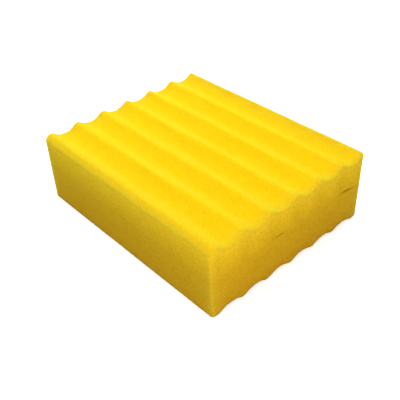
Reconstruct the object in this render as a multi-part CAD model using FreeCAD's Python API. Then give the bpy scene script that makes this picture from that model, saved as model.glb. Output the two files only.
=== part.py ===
"""Pond filter sponge: two wave-cut slabs of open-cell foam, laid flat back to flat back.

Both slabs are sawn alike: a flat back, four straight cut sides, and a working face of parallel round-bottomed
waves. The upper slab shows its waves on top, and its far side cuts the last crest through the middle. The lower
slab is turned over, so it stands on its wave crests. Its waves are a little closer together, with both outermost
crests inside its sides, and they are blunter and less deep, as they are pressed by standing.

Row frame: +Z up, X along the waves, Y across them. The origin is the centre of the base, on the plane that the
lower slab's crests rest on. Units are millimetres.
"""

import FreeCAD
import Part
import math
import os

# Driving dimensions.
LENGTH = 246.0  # along the waves
WIDTH = 200.0  # across the waves
UPPER_THICKNESS = 33.0  # from the flat back to the crests
LOWER_THICKNESS = 44.0
CREST_COUNT = 7
FIRST_CREST_INSET = 7.4  # from the near side to the first crest
UPPER_LAST_INSET = 0.0  # from the last crest to the far side
UPPER_WAVE_DEPTH = 5.7  # from crest to valley floor
UPPER_CREST_RADIUS = 6.5
LOWER_LAST_INSET = 7.4
LOWER_WAVE_DEPTH = 4.2
LOWER_CREST_RADIUS = 9.0
CORNER_RADIUS = 2.0  # the upright corners, which soft foam rounds as it is cut


class Wave:
    """A sawn wave: crest arcs and valley arcs that meet on one tangent, at half the wave's width."""

    def __init__(self, last_inset, depth, crest_radius):
        """Spaces the crests evenly, and works out where the two arcs meet from the depth and the crest's radius."""
        pitch = (WIDTH - FIRST_CREST_INSET - last_inset) / (CREST_COUNT - 1)
        self.crests = [-WIDTH / 2 + FIRST_CREST_INSET + k * pitch for k in range(CREST_COUNT)]
        self.half_pitch = pitch / 2
        flank_angle = 2 * math.atan(depth / self.half_pitch)
        self.depth = depth
        self.crest_radius = crest_radius
        self.valley_radius = self.half_pitch / math.sin(flank_angle) - crest_radius
        self.crest_half_width = crest_radius * math.sin(flank_angle)

    def drop(self, y):
        """How far the wave surface lies below the crests at a place across the slab."""
        from_crest = min(abs(y - crest) for crest in self.crests)
        if from_crest <= self.crest_half_width:
            return self.crest_radius - math.sqrt(self.crest_radius**2 - from_crest**2)
        from_valley = self.half_pitch - from_crest
        return self.depth - self.valley_radius + math.sqrt(self.valley_radius**2 - from_valley**2)

    def breaks(self):
        """The places across the slab where one arc hands over to the next, from side to side."""
        places = [-WIDTH / 2]
        for crest in self.crests:
            places += [crest - self.crest_half_width, crest + self.crest_half_width]
        return [place for place in places if place < WIDTH / 2] + [WIDTH / 2]


def slab_section(thickness, sawn):
    """The slab's closed cross-section, with its flat back on Z = 0 and the sawn wave on top."""

    def on_wave(y):
        return FreeCAD.Vector(0, y, thickness - sawn.drop(y))

    breaks = sawn.breaks()
    wave = [
        Part.Arc(on_wave(start), on_wave((start + end) / 2), on_wave(end)).toShape()
        for start, end in zip(breaks, breaks[1:])
    ]
    near_foot = FreeCAD.Vector(0, -WIDTH / 2, 0)
    far_foot = FreeCAD.Vector(0, WIDTH / 2, 0)
    near_side = Part.makeLine(near_foot, on_wave(-WIDTH / 2))
    far_side = Part.makeLine(on_wave(WIDTH / 2), far_foot)
    back = Part.makeLine(far_foot, near_foot)
    return Part.Wire([near_side] + wave + [far_side, back])


def is_upright(edge):
    """True for an edge that runs straight up the slab, which only its four corners do."""
    along = edge.Vertexes[-1].Point - edge.Vertexes[0].Point
    return abs(along.x) < 1e-6 and abs(along.y) < 1e-6


def foam_slab(thickness, sawn):
    """One wave-cut slab, centred on X and Y, back down on Z = 0 and waves up."""
    slab = Part.Face(slab_section(thickness, sawn)).extrude(FreeCAD.Vector(LENGTH, 0, 0))
    slab.translate(FreeCAD.Vector(-LENGTH / 2, 0, 0))
    return slab.makeFillet(CORNER_RADIUS, [edge for edge in slab.Edges if is_upright(edge)])


def upper_foam_pad():
    """The upper slab, waves up, its back resting on the lower slab's back."""
    pad = foam_slab(UPPER_THICKNESS, Wave(UPPER_LAST_INSET, UPPER_WAVE_DEPTH, UPPER_CREST_RADIUS))
    pad.translate(FreeCAD.Vector(0, 0, LOWER_THICKNESS))
    return pad


def lower_foam_pad():
    """The lower slab, turned over about its length so that its crests rest on Z = 0."""
    pad = foam_slab(LOWER_THICKNESS, Wave(LOWER_LAST_INSET, LOWER_WAVE_DEPTH, LOWER_CREST_RADIUS))
    pad.rotate(FreeCAD.Vector(0, 0, 0), FreeCAD.Vector(1, 0, 0), 180)
    pad.translate(FreeCAD.Vector(0, 0, LOWER_THICKNESS))
    return pad


def main():
    """Writes one STEP per pad and prints what was made."""
    os.makedirs("parts", exist_ok=True)
    for make in (upper_foam_pad, lower_foam_pad):
        pad = make()
        box = pad.BoundBox
        print(
            f"{make.__name__}: valid {pad.isValid()}, {len(pad.Solids)} solid, {pad.Volume / 1e6:.4f} litres,"
            f" x {box.XMin:.2f}..{box.XMax:.2f}, y {box.YMin:.2f}..{box.YMax:.2f}, z {box.ZMin:.2f}..{box.ZMax:.2f}"
        )
        pad.exportStep(f"parts/{make.__name__}.step")


main()
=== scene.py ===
"""Filter sponge: two wave-cut slabs of fine open-cell foam, lying flat back to flat back, dressed and lit.

Each slab stands for one node of the frame and rides on that node's body.
"""

import itertools
import logging
import math
from dataclasses import dataclass, field
from enum import Enum
from typing import Any, Mapping

import bpy
import numpy as np
from mathutils import Matrix, Vector


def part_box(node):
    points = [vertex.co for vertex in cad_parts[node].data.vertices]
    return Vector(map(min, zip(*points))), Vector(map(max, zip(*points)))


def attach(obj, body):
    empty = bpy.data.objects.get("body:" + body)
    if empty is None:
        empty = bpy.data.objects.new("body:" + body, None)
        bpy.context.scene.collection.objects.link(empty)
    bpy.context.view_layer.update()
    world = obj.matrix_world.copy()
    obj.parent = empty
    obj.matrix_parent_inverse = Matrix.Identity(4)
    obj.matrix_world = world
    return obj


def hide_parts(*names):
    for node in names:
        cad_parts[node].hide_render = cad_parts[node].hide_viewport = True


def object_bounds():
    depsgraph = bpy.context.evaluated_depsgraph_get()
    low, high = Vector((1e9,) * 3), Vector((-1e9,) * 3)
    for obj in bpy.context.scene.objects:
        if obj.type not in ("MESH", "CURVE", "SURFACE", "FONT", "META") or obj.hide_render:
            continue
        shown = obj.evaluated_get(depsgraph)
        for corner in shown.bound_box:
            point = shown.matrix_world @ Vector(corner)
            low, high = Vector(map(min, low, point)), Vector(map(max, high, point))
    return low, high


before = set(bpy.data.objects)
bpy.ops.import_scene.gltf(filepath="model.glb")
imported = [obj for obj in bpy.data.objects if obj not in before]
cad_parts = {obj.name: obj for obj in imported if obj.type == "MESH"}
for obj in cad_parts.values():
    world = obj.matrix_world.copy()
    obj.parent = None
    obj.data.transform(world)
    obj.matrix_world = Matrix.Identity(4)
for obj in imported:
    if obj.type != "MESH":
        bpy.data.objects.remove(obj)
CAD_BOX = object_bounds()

LOG = logging.getLogger("sponge_filter")
MM = 0.001
Colour = tuple[float, float, float]


# Shader graphs.


class Value:
    """A number in a shader graph. Arithmetic on it adds the Math nodes that work it out."""

    def __init__(self, graph: "Graph", socket: bpy.types.NodeSocket) -> None:
        """Wraps an output socket of a node in the graph."""
        self.graph = graph
        self.socket = socket

    def _math(self, operation: str, *terms: Any) -> "Value":
        """Adds one Math node.

        Args:
            operation: the node's operation.
            terms: its inputs in order, as Values or numbers.

        Returns:
            The node's result.
        """
        sockets = dict(enumerate(terms))
        return self.graph.value("ShaderNodeMath", {"operation": operation}, sockets)

    def __add__(self, other: Any) -> "Value":
        """The sum."""
        return self._math("ADD", self, other)

    def __radd__(self, other: Any) -> "Value":
        """The sum, with a number on the left."""
        return self._math("ADD", other, self)

    def __rsub__(self, other: Any) -> "Value":
        """The difference, with a number on the left."""
        return self._math("SUBTRACT", other, self)

    def __mul__(self, other: Any) -> "Value":
        """The product."""
        return self._math("MULTIPLY", self, other)

    def __rmul__(self, other: Any) -> "Value":
        """The product, with a number on the left."""
        return self._math("MULTIPLY", other, self)

    def faded(self, low: float, high: float) -> "Value":
        """Rises smoothly from 0 at low to 1 at high.

        Args:
            low: where the rise starts.
            high: where it is complete.

        Returns:
            The faded number.
        """
        sockets = {"Value": self, "From Min": low, "From Max": high}
        return self.graph.value("ShaderNodeMapRange", {"interpolation_type": "SMOOTHSTEP"}, sockets)


class Graph:
    """A node tree that is emptied and then filled node by node."""

    def __init__(self, tree: bpy.types.NodeTree) -> None:
        """Takes over the tree and clears it."""
        self.tree = tree
        tree.nodes.clear()

    def node(
        self,
        kind: str,
        settings: Mapping[str, Any] | None = None,
        sockets: Mapping[Any, Any] | None = None,
    ) -> bpy.types.Node:
        """Adds a node.

        Args:
            kind: the node's type.
            settings: its own properties, set before its sockets.
            sockets: what each input gets, by name or number: a Value, an output socket or a constant.

        Returns:
            The node.
        """
        made = self.tree.nodes.new(kind)
        for name, setting in (settings or {}).items():
            setattr(made, name, setting)
        for name, given in (sockets or {}).items():
            source = given.socket if isinstance(given, Value) else given
            if isinstance(source, bpy.types.NodeSocket):
                self.tree.links.new(source, made.inputs[name])
            else:
                made.inputs[name].default_value = source
        return made

    def value(
        self,
        kind: str,
        settings: Mapping[str, Any] | None = None,
        sockets: Mapping[Any, Any] | None = None,
        output: Any = 0,
    ) -> Value:
        """Adds a node and gives one of its outputs as a number.

        Args:
            kind: the node's type.
            settings: its own properties.
            sockets: what each input gets.
            output: the name or number of the output wanted.

        Returns:
            That output.
        """
        return Value(self, self.node(kind, settings, sockets).outputs[output])

    def blend(self, amount: Value, low: Any, high: Any, mode: str = "MIX") -> bpy.types.NodeSocket:
        """Mixes two colours.

        Args:
            amount: 0 for all of low, 1 for all of high.
            low: a colour, or the socket of one.
            high: the same.
            mode: how high acts on low: "MIX" puts it in place of low, "MULTIPLY" tints low with it.

        Returns:
            The mixed colour's socket.
        """
        ends = [end if isinstance(end, bpy.types.NodeSocket) else (*end, 1) for end in (low, high)]
        sockets = {"Factor": amount, 6: ends[0], 7: ends[1]}
        return self.node("ShaderNodeMix", {"data_type": "RGBA", "blend_type": mode}, sockets).outputs[2]


@dataclass(frozen=True)
class YellowFoam:
    """Dry open-cell polyurethane foam, sawn on every side.

    Light goes a few millimetres into it, so it is a scattering material with a dull surface. On the waves
    its colour is painted in lit and shaded copies: deepest in the valleys, paler on the slope past each
    crest, where light falls, and duller with painted shade at the brink of the sides. On the sides painted
    light makes it paler along the edges, for the glow of light through the thin foam there, and paler
    towards the upper rim with painted shade darker lower down, as light from above falls. Painted shade
    darkens the pores between the struts, the lower slab's bottom edges where it meets the floor, and the
    lips that gape at the seam. Where each painted light and shade lies comes from the mesh's attributes.
    """

    name: str = "yellow_foam"
    # Painted shade and light on the sides: this darker colour lower down, the next one towards the upper rim,
    # as light from above falls.
    sawn: Colour = (0.56, 0.345, 0.0080)
    rim: Colour = (0.98, 0.725, 0.0150)
    # The waves' shaded colour; the next one is its copy with painted light.
    valley: Colour = (0.95, 0.655, 0.0020)
    # Painted light on the slope past each crest, where light from behind falls.
    slope_light: Colour = (0.96, 0.705, 0.0110)
    # Painted shade on the waves near the sides.
    brink: Colour = (0.76, 0.585, 0.0200)
    # Painted light along the edges, for the glow of light through the thin foam there.
    edge: Colour = (0.74, 0.600, 0.0300)
    # Painted shade in the pores between the struts.
    pit_shade: Colour = (0.62, 0.52, 0.30)
    # Painted shade at the lower slab's bottom edges and in the gapes at the seam.
    crease_shade: Colour = (0.42, 0.36, 0.40)
    large_cell: float = 2.4 * MM
    small_cell: float = 1.4 * MM
    large_share: float = 0.55
    small_share: float = 0.45
    wall_from: float = 0.12
    wall_full: float = 0.62
    edge_strength: float = 0.40
    edge_mottle: float = 0.25
    pit_strength: float = 0.66
    pit_less_on_waves: float = 0.38
    pit_least: float = 0.7
    pit_mottle: float = 0.3
    blotch: float = 14 * MM
    relief: float = 0.45 * MM
    light_reach: float = 3.5 * MM

    def cells(self, graph: Graph, place: bpy.types.NodeSocket, size: float) -> Value:
        """How near the foam's surface is to a cell's wall, from 0 in its middle to 1 on its struts.

        Args:
            graph: the material's graph.
            place: the coordinates that the cells are laid out in, in metres.
            size: a cell's width.

        Returns:
            The nearness, from the distance to the nearest of the cells' scattered middles.
        """
        found = graph.value("ShaderNodeTexVoronoi", None, {"Vector": place, "Scale": 1 / size}, "Distance")
        return found.faded(self.wall_from, self.wall_full)

    def mottle(self, graph: Graph, place: bpy.types.NodeSocket, size: float) -> Value:
        """Soft blotches of about that size, from 0 to 1.

        Args:
            graph: the material's graph.
            place: coordinates in metres.
            size: the blotches' width.

        Returns:
            The blotches, from fractal noise.
        """
        sockets = {"Vector": place, "Scale": 1 / size, "Detail": 3.0, "Roughness": 0.6}
        return graph.value("ShaderNodeTexNoise", None, sockets, "Fac").faded(0.3, 0.7)

    def make(self) -> bpy.types.Material:
        """Builds the material.

        Returns:
            The material, ready to go on a piece.
        """
        material = bpy.data.materials.new(self.name)
        material.use_nodes = True
        graph = Graph(material.node_tree)
        place = graph.node("ShaderNodeTexCoord").outputs["Object"]
        slope_light, waved, edge, rim, brink, crease_shade = (
            graph.value("ShaderNodeAttribute", {"attribute_name": name}, None, "Fac")
            for name in ("slope_light", "waved", "edge", "rim", "brink", "crease_shade")
        )
        large = self.cells(graph, place, self.large_cell)
        small = self.cells(graph, place, self.small_cell)
        struts = self.large_share * large + self.small_share * small
        blotches = self.mottle(graph, place, self.blotch)
        # Painted light on the slope past each crest and painted shade at the brink of the sides.
        waves = graph.blend(brink, graph.blend(slope_light, self.valley, self.slope_light), self.brink)
        # The sides are painted lighter towards the upper rim and darker lower down, as light from above
        # falls.
        sides = graph.blend(rim, self.sawn, self.rim)
        # Painted light along the edges.
        paled = graph.blend(edge * (self.edge_strength + self.edge_mottle * blotches), sides, self.edge)
        body = graph.blend(waved, paled, waves)
        # Painted shade in the pores between the struts, less on the waves.
        between = 1 - struts
        strength = self.pit_strength - self.pit_less_on_waves * waved
        pore_shading = between * strength * (self.pit_least + self.pit_mottle * blotches)
        pore_shaded = graph.blend(pore_shading, body, self.pit_shade, "MULTIPLY")
        # Painted contact shade at the lower slab's bottom edges and painted shade in the gapes at the seam.
        shown = graph.blend(crease_shade, pore_shaded, self.crease_shade, "MULTIPLY")
        relief = graph.node(
            "ShaderNodeBump",
            None,
            {"Strength": 0.55, "Distance": self.relief, "Height": struts},
        )
        surface = graph.node(
            "ShaderNodeBsdfPrincipled",
            {"subsurface_method": "RANDOM_WALK"},
            {
                "Base Color": shown,
                "Roughness": 0.92 - 0.1 * struts,
                "Normal": relief.outputs[0],
                "Specular IOR Level": 0.06,
                "Subsurface Weight": 1.0,
                "Subsurface Radius": (1.0, 0.72, 0.25),
                "Subsurface Scale": self.light_reach,
            },
        )
        graph.node("ShaderNodeOutputMaterial", None, {"Surface": surface.outputs[0]})
        return material


@dataclass(frozen=True)
class PaleFloor:
    """Plain white studio floor. It gives less light back to the foam than it shows."""

    name: str = "pale_floor"
    seen: float = 0.90
    given_back: float = 0.45
    glow: float = 0.60

    def make(self) -> bpy.types.Material:
        """Builds the material.

        Returns:
            The material, ready to go on a piece.
        """
        material = bpy.data.materials.new(self.name)
        material.use_nodes = True
        graph = Graph(material.node_tree)
        seen = graph.value("ShaderNodeLightPath", None, None, "Is Camera Ray")
        shade = graph.blend(seen, (self.given_back,) * 3, (self.seen,) * 3)
        surface = graph.node(
            "ShaderNodeBsdfPrincipled",
            None,
            {
                "Base Color": shade,
                "Roughness": 1.0,
                "Specular IOR Level": 0.0,
                "Emission Color": graph.blend(seen, (0.0,) * 3, (self.glow,) * 3),
                "Emission Strength": 1.0,
            },
        )
        graph.node("ShaderNodeOutputMaterial", None, {"Surface": surface.outputs[0]})
        return material


# Surfaces.


def smooth(low: float, high: float, at: np.ndarray) -> np.ndarray:
    """Rises from 0 at low to 1 at high along 3t^2 - 2t^3.

    Args:
        low: where the rise starts.
        high: where it is complete.
        at: the places asked about.

    Returns:
        The height of the rise at each place.
    """
    part = np.clip((at - low) / (high - low), 0, 1)
    return part * part * (3 - 2 * part)


def box_skin(counts: tuple[int, int, int]) -> tuple[np.ndarray, np.ndarray]:
    """The welded skin of a box that is divided into counts cells along X, Y and Z.

    Each of the six sides is a grid of two parameters. Points that sides share have the same lattice address,
    so they are merged by it, and the skin is closed.

    Args:
        counts: the divisions along each axis.

    Returns:
        The lattice address of each point, in whole cells along each axis, and the corners of each four-sided
        face, in order round its outward side.
    """
    steps = np.array([(counts[1] + 1) * (counts[2] + 1), counts[2] + 1, 1])
    corners = []
    for axis, far in itertools.product(range(3), (False, True)):
        u, v = (axis + 1) % 3, (axis + 2) % 3
        rows, columns = np.meshgrid(np.arange(counts[u]), np.arange(counts[v]), indexing="ij")
        first = rows * steps[u] + columns * steps[v] + far * counts[axis] * steps[axis]
        round_it = (first, first + steps[u], first + steps[u] + steps[v], first + steps[v])
        quads = np.stack(round_it, -1).reshape(-1, 4)
        corners.append(quads if far else quads[:, ::-1])
    keys, quads = np.unique(np.concatenate(corners), return_inverse=True)
    address = np.stack([keys // steps[0], keys // steps[1] % (counts[1] + 1), keys % (counts[2] + 1)], -1)
    return address, quads.reshape(-1, 4)


def outward(points: np.ndarray, quads: np.ndarray) -> np.ndarray:
    """The unit normal at each point: the sum of its faces' diagonals' cross products, made one long.

    Args:
        points: places, one row each.
        quads: the points of each face.

    Returns:
        The normals, one row each.
    """
    a, b, c, d = (points[quads[:, k]] for k in range(4))
    facing = np.cross(c - a, d - b)
    total = np.zeros_like(points)
    for k in range(4):
        for axis in range(3):
            total[:, axis] += np.bincount(quads[:, k], facing[:, axis], len(points))
    return total / np.linalg.norm(total, axis=1, keepdims=True)


def scattered(address: np.ndarray) -> np.ndarray:
    """Three repeatable numbers from 0 to 1 for each whole-number cell address, mixed from its bits.

    Args:
        address: cell addresses, one row each.

    Returns:
        The numbers, one row each.
    """
    cell = address.astype(np.int64).astype(np.uint64)
    bits = (
        cell[:, 0] * np.uint64(73856093)
        ^ cell[:, 1] * np.uint64(19349663)
        ^ cell[:, 2] * np.uint64(83492791)
    )
    salted = bits[:, None] + np.arange(1, 4, dtype=np.uint64) * np.uint64(2654435761)
    for shift in (33, 29):
        salted = (salted ^ (salted >> np.uint64(shift))) * np.uint64(0xFF51AFD7ED558CCD)
    return ((salted >> np.uint64(11)) & np.uint64(0xFFFFF)).astype(float) / 0xFFFFF


def cell_middles(points: np.ndarray, size: float) -> np.ndarray:
    """How far each point is from the nearest cell's middle, in cell widths.

    Space is divided into cubes of that size with one middle scattered in each, so the nearest is in the
    point's own cube or one of the 26 about it.

    Args:
        points: places in metres, one row each.
        size: a cell's width.

    Returns:
        The distances, from 0 to about 1.
    """
    scaled = points / size
    home = np.floor(scaled)
    nearest = np.full(len(points), np.inf)
    for step in itertools.product((-1, 0, 1), repeat=3):
        cube = home + step
        nearest = np.minimum(nearest, np.linalg.norm(cube + scattered(cube) - scaled, axis=1))
    return nearest


class Facing(Enum):
    """Which way a slab's waves face. The value is the sign that turns the slab about its length."""

    UP = 1
    DOWN = -1


@dataclass(frozen=True)
class WaveCut:
    """The sawn wave across a slab: crest arcs and valley arcs that meet on one tangent.

    The insets are how far in from the slab's sides its outermost crests lie, and the margin is the share of
    the drop that is kept outside them.
    """

    width: float
    depth: float
    crest_radius: float
    last_inset: float
    margin: float
    crests: int = 7
    first_inset: float = 7.4 * MM

    @property
    def pitch(self) -> float:
        """From one crest to the next, when the outermost crests are the insets in from the slab's sides."""
        return (self.width - self.first_inset - self.last_inset) / (self.crests - 1)

    def past_crest(self, across: np.ndarray) -> np.ndarray:
        """How far each place is past its nearest crest, and less than 0 short of it.

        Args:
            across: places from the slab's middle.

        Returns:
            The signed distance at each place.
        """
        phase = (across + self.width / 2 - self.first_inset) / self.pitch
        return (phase - np.round(phase)) * self.pitch

    def drop(self, across: np.ndarray) -> np.ndarray:
        """How far the wave lies below its crests.

        Within the crest arc it is R - sqrt(R^2 - y^2), y from the crest. Beyond, it is the valley arc's own
        circle, measured up from the valley floor. Outside the outermost crests only the margin's share of it
        is left.

        Args:
            across: places from the slab's middle.

        Returns:
            The drop at each place.
        """
        half = self.pitch / 2
        angle = 2 * math.atan(self.depth / half)
        valley_radius = half / math.sin(angle) - self.crest_radius
        from_crest = np.abs(self.past_crest(across))
        from_valley = half - from_crest
        on_crest = self.crest_radius - np.sqrt(np.maximum(self.crest_radius**2 - from_crest**2, 0))
        in_valley = self.depth - valley_radius + np.sqrt(valley_radius**2 - from_valley**2)
        full = np.where(from_crest <= self.crest_radius * math.sin(angle), on_crest, in_valley)
        end = self.width / 2
        outside = (across < self.first_inset - end) | (across > end - self.last_inset)
        return np.where(outside, self.margin * full, full)


@dataclass(frozen=True)
class Seam:
    """The surface that both slabs' backs lie against. Sawing and pressing leave it a little out of flat.

    Places along and across it are given in half lengths and half widths. Each lip is a stretch of the ends
    where the slabs gape: its middle and its reach across, and its depth.
    """

    half_length: float
    half_width: float
    height: float
    bump: float = 1.3 * MM
    bump_middle: float = -0.2
    bump_reach: float = 0.24
    droop: float = 3.6 * MM
    droop_from: float = 0.7
    growth: float = 0.4
    lips_from: float = 0.95
    lips_full: float = 0.995
    clearance: float = 0.04 * MM
    lips: tuple[tuple[float, float, float], ...] = ((-0.18, 0.07, 0.5 * MM), (0.78, 0.10, 0.8 * MM))

    def rise(self, along: np.ndarray, across: np.ndarray) -> np.ndarray:
        """How far the seam lies above its mean height: a bump short of the middle, a droop at the far side.

        The bump is a bell curve and the droop a smooth step. Both grow from one end to the other.

        Args:
            along: places along X.
            across: places along Y.

        Returns:
            The rise at each place.
        """
        v = across / self.half_width
        towards_end = 1 - self.growth + self.growth * along / self.half_length
        bump = self.bump * np.exp(-(((v - self.bump_middle) / self.bump_reach) ** 2))
        return towards_end * (bump - self.droop * smooth(self.droop_from, 1.0, v))

    def gape(self, along: np.ndarray, across: np.ndarray) -> np.ndarray:
        """How far the slabs' lips draw back from the seam, which they do only near the ends.

        Args:
            along: places along X.
            across: places along Y.

        Returns:
            The depth of the groove that they leave at each place.
        """
        v = across / self.half_width
        at_end = smooth(self.lips_from, self.lips_full, np.abs(along) / self.half_length)
        bells = (depth * np.exp(-(((v - middle) / reach) ** 2)) for middle, reach, depth in self.lips)
        return at_end * sum(bells)


@dataclass(frozen=True)
class Shading:
    """How far the foam's shades reach from where they start."""

    # Reaches of the foam's painted light and painted shade.
    slope_light_middle: float = 6 * MM
    slope_light_reach: float = 7 * MM
    waved_full: float = 0.2 * MM
    edge_reach: float = 8 * MM
    brink_reach: float = 6 * MM
    rim_reach: float = 25 * MM
    foot_height: float = 2 * MM
    foot_reach: float = 1.5 * MM
    gape_full: float = 1.0 * MM
    gape_height: float = 0.9 * MM


@dataclass
class FoamSlab:
    """One wave-cut slab.

    It is worked out with its flat back on Z = 0 and its waves up, and then turned about its length and set
    against the seam. The waves' colour reaches down the sides by the brink height. The saw's wander grows
    from the sides inwards over the wander's reach, and the pores from the seam over theirs.
    """

    name: str
    node: str
    body: str
    facing: Facing
    seam: Seam
    wave_depth: float
    crest_radius: float
    last_inset: float
    margin: float
    rounding: float
    brink_height: float
    corner: float = 3.2 * MM
    grid: float = 1.2 * MM
    lip: float = 0.15 * MM
    pore: float = 2.5 * MM
    pore_depth: float = 0.22 * MM
    pore_floor: float = 0.15
    pore_wall: float = 0.75
    pore_reach: float = 2.5 * MM
    wander_reach: float = 8 * MM
    groove: float = 0.02 * MM
    groove_height: float = 1.1 * MM
    shortest_pull: float = 20 * MM
    parting: float = 0.5
    parting_fade: int = 8
    shading: Shading = Shading()
    low: np.ndarray = field(init=False)
    high: np.ndarray = field(init=False)

    def __post_init__(self) -> None:
        """Reads the slab's corners from the frame."""
        low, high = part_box(self.node)
        self.low = np.array(low)
        self.high = np.array(high)

    @property
    def size(self) -> np.ndarray:
        """Length, width and thickness."""
        return self.high - self.low

    def rounded(self, places: np.ndarray) -> np.ndarray:
        """Rounds every edge of the block but those of its back.

        Each point is split into the nearest point of a smaller inner block and the step from it, in radii. A
        step whose largest part is m ends on a cube of that size, and it is shortened to end on a ball of
        radius m.

        Args:
            places: points of the sharp block.

        Returns:
            The same points on the rounded block.
        """
        radii = np.array([self.corner, self.corner, self.rounding])
        half = self.size / 2
        low = np.array([-half[0] + radii[0], -half[1] + radii[1], 0])
        high = np.array([half[0] - radii[0], half[1] - radii[1], self.size[2] - radii[2]])
        inner = np.clip(places, low, high)
        step = (places - inner) / radii
        largest = np.abs(step).max(axis=1, keepdims=True)
        length = np.linalg.norm(step, axis=1, keepdims=True)
        return inner + step * radii * largest / np.maximum(length, 1e-9)

    def uneven(self, places: np.ndarray) -> tuple[np.ndarray, np.ndarray]:
        """The small wander that the saw leaves in the waves.

        Each part of it is two slow sines along the cut, out of step from one wave to the next. Lengths are in
        millimetres here and the sines' rates in radians a millimetre.

        Args:
            places: points of the block.

        Returns:
            How far the wave is shifted across the slab, and how much it is sunk, at each point.
        """
        x, y = places[:, 0] / MM, places[:, 1] / MM
        turn = y * 0.083 + self.facing.value
        shift = 0.45 * np.sin(x * 0.047 + 3 * turn) + 0.25 * np.sin(x * 0.118 + 5 * turn)
        sunk = 0.15 + 0.10 * np.sin(x * 0.061 + 2 * turn) + 0.05 * np.sin(x * 0.151 - 4 * turn)
        return shift * MM, sunk * MM

    def shades(
        self, points: np.ndarray, top: np.ndarray, drop: np.ndarray, past_crest: np.ndarray, gape: np.ndarray
    ) -> dict[str, np.ndarray]:
        """How much of each of the foam's shades a point has, from 0 to 1.

        The painted light on the slope past each crest is a bell curve across each wave, and the waved side a
        smooth step down the sides. The others die away as exp(-distance / reach): the painted light from an
        upright or upper edge, the painted shade on the waves from the brink, the painted light from the
        block's upper rim and the painted contact shade from its foot. The painted shade in the gapes follows
        their depth near the seam.

        Args:
            points: the slab's points, back down on Z = 0.
            top: the height of the waves over each point.
            drop: how far the wave lies below its crests there.
            past_crest: how far each point is past its nearest crest.
            gape: how far the lips draw back there.

        Returns:
            The shades, by the name of the attribute that the foam reads.
        """
        reach = self.shading
        is_lower = self.facing is Facing.DOWN
        to_sides = np.maximum(self.size[:2] / 2 - np.abs(points[:, :2]), 0)
        from_top = CAD_BOX[1][2] - self.seam.height - self.facing.value * points[:, 2]
        from_rim = np.maximum(from_top - drop * (not is_lower), 0)
        to_edge = np.minimum(to_sides.max(axis=1), from_rim)
        above_foot = top - points[:, 2]
        # Painted contact shade along the lower slab's bottom edges.
        foot = np.exp(-above_foot / reach.foot_height - to_sides.min(axis=1) / reach.foot_reach)
        near_seam = np.exp(-((points[:, 2] / reach.gape_height) ** 2))
        # Painted shade in the gapes at the seam.
        gape_shade = np.clip(gape / reach.gape_full, 0, 1) * near_seam
        return {
            # Painted light on the slope past each crest.
            "slope_light": np.exp(-(((past_crest - reach.slope_light_middle) / reach.slope_light_reach) ** 2)),
            "waved": smooth(self.brink_height, reach.waved_full, above_foot),
            # Painted light along the edges.
            "edge": np.exp(-to_edge / reach.edge_reach),
            # Painted shade on the waves near the sides.
            "brink": np.exp(-to_sides.min(axis=1) / reach.brink_reach),
            # Painted contact shade at the lower slab's bottom edges and painted shade in the gapes.
            "crease_shade": np.maximum(foot * is_lower, gape_shade),
            # Painted light down the sides from the upper rim.
            "rim": np.exp(-from_rim / reach.rim_reach),
        }

    def set_against_seam(self, points: np.ndarray, gape: np.ndarray) -> np.ndarray:
        """Draws the lips back, turns the slab to its facing and lays its back along the seam.

        The lips go in by a bell curve of the height above the back. Parting them and following the seam both
        fade out towards the waves.

        Args:
            points: the slab's points, back down on Z = 0.
            gape: how far the lips draw back at each.

        Returns:
            The points in the row frame.
        """
        depth_in = np.clip(points[:, 2] / self.size[2], 0, 1)
        pulled = (self.groove + gape) * np.exp(-((points[:, 2] / self.groove_height) ** 2))
        placed = points.copy()
        placed[:, :2] *= 1 - pulled[:, None] / np.maximum(np.abs(points[:, :2]), self.shortest_pull)
        parted = self.seam.clearance + self.parting * gape
        placed[:, 2] += parted * (1 - depth_in) ** self.parting_fade
        placed[:, 1:] *= self.facing.value
        placed[:, 2] += self.seam.height + self.seam.rise(placed[:, 0], placed[:, 1]) * (1 - depth_in)
        return placed

    def shape(self) -> tuple[np.ndarray, np.ndarray, dict[str, np.ndarray]]:
        """The slab's surface before its pores.

        The rounded block is squeezed, at each place across it, to the height that the wave leaves there.

        Returns:
            The points in the row frame, the faces, and the points' shades.
        """
        thickness = self.size[2]
        half = self.size / 2
        rows = [np.linspace(-end, end, int(round(2 * end / self.grid)) + 1) for end in half[:2]]
        rows.append(np.append(0, np.linspace(self.lip, thickness, int(round(thickness / self.grid)) + 1)))
        address, quads = box_skin(tuple(len(row) - 1 for row in rows))
        flat = self.rounded(np.column_stack([row[address[:, k]] for k, row in enumerate(rows)]))
        wave = WaveCut(self.size[1], self.wave_depth, self.crest_radius, self.last_inset, self.margin)
        shift, sunk = self.uneven(flat)
        cut_at = flat[:, 1] + shift * smooth(0, self.wander_reach, half[1] - np.abs(flat[:, 1]))
        drop = wave.drop(cut_at)
        top = thickness - drop - sunk
        points = flat.copy()
        points[:, 2] *= top / thickness
        gape = self.seam.gape(points[:, 0], self.facing.value * points[:, 1])
        shades = self.shades(points, top, drop, wave.past_crest(cut_at), gape)
        return self.set_against_seam(points, gape), quads, shades

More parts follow.
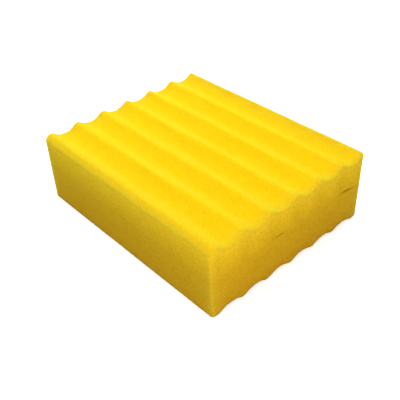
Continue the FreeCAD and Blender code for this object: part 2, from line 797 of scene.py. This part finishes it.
    def build(self) -> bpy.types.Object:
        """Makes the slab's mesh: the shape, with its pores pressed in along the normals.

        Returns:
            The slab, not yet dressed.
        """
        points, quads, shades = self.shape()
        hollow = 1 - smooth(self.pore_floor, self.pore_wall, cell_middles(points, self.pore))
        hollow *= smooth(0, self.pore_reach, np.abs(points[:, 2] - self.seam.height))
        points = points - outward(points, quads) * (hollow * self.pore_depth)[:, None]
        points[:, 2] = np.maximum(points[:, 2], CAD_BOX[0][2])
        mesh = bpy.data.meshes.new(self.name)
        mesh.from_pydata(points.tolist(), [], quads.tolist())
        mesh.polygons.foreach_set("use_smooth", np.ones(len(quads), bool))
        for name, amount in shades.items():
            mesh.attributes.new(name, "FLOAT", "POINT").data.foreach_set("value", amount)
        mesh.update()
        slab = bpy.data.objects.new(self.name, mesh)
        bpy.context.scene.collection.objects.link(slab)
        return slab

    def dress(self, slab: bpy.types.Object, foam: bpy.types.Material) -> None:
        """Gives the slab its foam, sets it on its body and hides the frame part that it replaces.

        Args:
            slab: the built piece.
            foam: its material.
        """
        slab.data.materials.append(foam)
        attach(slab, self.body)
        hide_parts(self.node)
        LOG.info("%s: %d faces, rides on %s", self.name, len(slab.data.polygons), self.body)


@dataclass
class FilterSponge:
    """The whole block: both slabs and the seam between them."""

    foam: YellowFoam = YellowFoam()

    def build(self) -> list[bpy.types.Object]:
        """Makes and dresses both slabs.

        Returns:
            The lower slab and the upper one.
        """
        top_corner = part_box("lower_foam_pad")[1]
        seam = Seam(half_length=top_corner[0], half_width=top_corner[1], height=top_corner[2])
        material = self.foam.make()
        slabs = (
            FoamSlab(
                name="lower_slab",
                node="lower_foam_pad",
                body="lower_pad",
                facing=Facing.DOWN,
                seam=seam,
                wave_depth=3.8 * MM,
                crest_radius=8.0 * MM,
                last_inset=7.4 * MM,
                margin=0.25,
                rounding=2.2 * MM,
                brink_height=1.2 * MM,
            ),
            FoamSlab(
                name="upper_slab",
                node="upper_foam_pad",
                body="upper_pad",
                facing=Facing.UP,
                seam=seam,
                wave_depth=5.9 * MM,
                crest_radius=5.0 * MM,
                last_inset=0.0,
                margin=1.0,
                rounding=1.8 * MM,
                brink_height=4.5 * MM,
            ),
        )
        pieces = []
        for slab in slabs:
            piece = slab.build()
            slab.dress(piece, material)
            pieces.append(piece)
        return pieces


# The studio.


@dataclass(frozen=True)
class SoftBox:
    """A square soft lamp, aimed at the middle of the block."""

    name: str
    place: tuple[float, float, float]
    side: float
    power: float
    tint: Colour = (1.0, 1.0, 1.0)

    def build(self, aim: Vector) -> None:
        """Hangs the lamp.

        Args:
            aim: the point that it faces.
        """
        lamp = bpy.data.lights.new(self.name, "AREA")
        lamp.size = self.side
        lamp.energy = self.power
        lamp.color = self.tint
        holder = bpy.data.objects.new(self.name, lamp)
        holder.location = self.place
        holder.rotation_euler = (aim - Vector(self.place)).to_track_quat("-Z", "Y").to_euler()
        bpy.context.scene.collection.objects.link(holder)


@dataclass
class Studio:
    """White floor, soft lamps and the camera."""

    floor_side: float = 12.0
    azimuth: float = 48.98
    elevation: float = 37.50
    roll: float = -2.40
    distance: float = 0.6307
    lens: float = 56.06
    aim_below: float = 24.6 * MM
    ambient: float = 0.50
    lamps: tuple[SoftBox, ...] = (
        SoftBox("overhead", (-0.55, 0.20, 0.98), 1.5, 12.0),
        SoftBox("right_side", (0.66, -0.34, 0.14), 0.5, 3.2, (1.0, 0.74, 0.72)),
        SoftBox("left_side", (-0.45, -1.25, 0.35), 0.8, 1.7, (1.0, 0.96, 0.92)),
    )

    def lay_floor(self) -> None:
        """Lays the floor level with the base of the block."""
        half = self.floor_side / 2
        mesh = bpy.data.meshes.new("floor")
        level = float(CAD_BOX[0][2])
        corners = [(-half, -half, level), (half, -half, level), (half, half, level), (-half, half, level)]
        mesh.from_pydata(corners, [], [(0, 1, 2, 3)])
        mesh.materials.append(PaleFloor().make())
        floor = bpy.data.objects.new("floor", mesh)
        bpy.context.scene.collection.objects.link(floor)

    def light(self, aim: Vector) -> None:
        """Hangs the lamps and sets the white surround, which shows brighter than it lights.

        Args:
            aim: the middle of the block.
        """
        for lamp in self.lamps:
            lamp.build(aim)
        world = bpy.data.worlds.new("surround")
        world.use_nodes = True
        graph = Graph(world.node_tree)
        seen = graph.value("ShaderNodeLightPath", None, None, "Is Camera Ray")
        strength = self.ambient + (1 - self.ambient) * seen
        glow = graph.node("ShaderNodeBackground", None, {"Color": (1, 1, 1, 1), "Strength": strength})
        graph.node("ShaderNodeOutputWorld", None, {"Surface": glow.outputs[0]})
        bpy.context.scene.world = world

    def set_camera(self, middle: Vector) -> None:
        """Places the camera on its bearing from the block's middle, aimed a little below it.

        Args:
            middle: the middle of the block.
        """
        a, e = math.radians(self.azimuth), math.radians(self.elevation)
        back = Vector((math.sin(a) * math.cos(e), -math.cos(a) * math.cos(e), math.sin(e)))
        level = back.to_track_quat("Z", "Y").to_matrix()
        turned = level @ Matrix.Rotation(math.radians(self.roll), 3, "Z")
        lens = bpy.data.cameras.new("camera")
        lens.lens = self.lens
        camera = bpy.data.objects.new("camera", lens)
        camera.matrix_world = turned.to_4x4()
        camera.location = middle + back * self.distance - turned.col[1] * self.aim_below
        bpy.context.scene.collection.objects.link(camera)
        bpy.context.scene.camera = camera

    def build(self) -> None:
        """Sets up the floor, the lamps, the camera and the plain colour response."""
        middle = (Vector(CAD_BOX[0]) + Vector(CAD_BOX[1])) / 2
        self.lay_floor()
        self.light(middle)
        self.set_camera(middle)
        bpy.context.scene.view_settings.view_transform = "Standard"


def main() -> None:
    """Sets the studio, builds the block and logs each piece's number of points."""
    logging.basicConfig(level=logging.INFO, format="%(name)s: %(message)s")
    Studio().build()
    for piece in FilterSponge().build():
        LOG.info("%s: %d points", piece.name, len(piece.data.vertices))


if __name__ == "__main__":
    main()
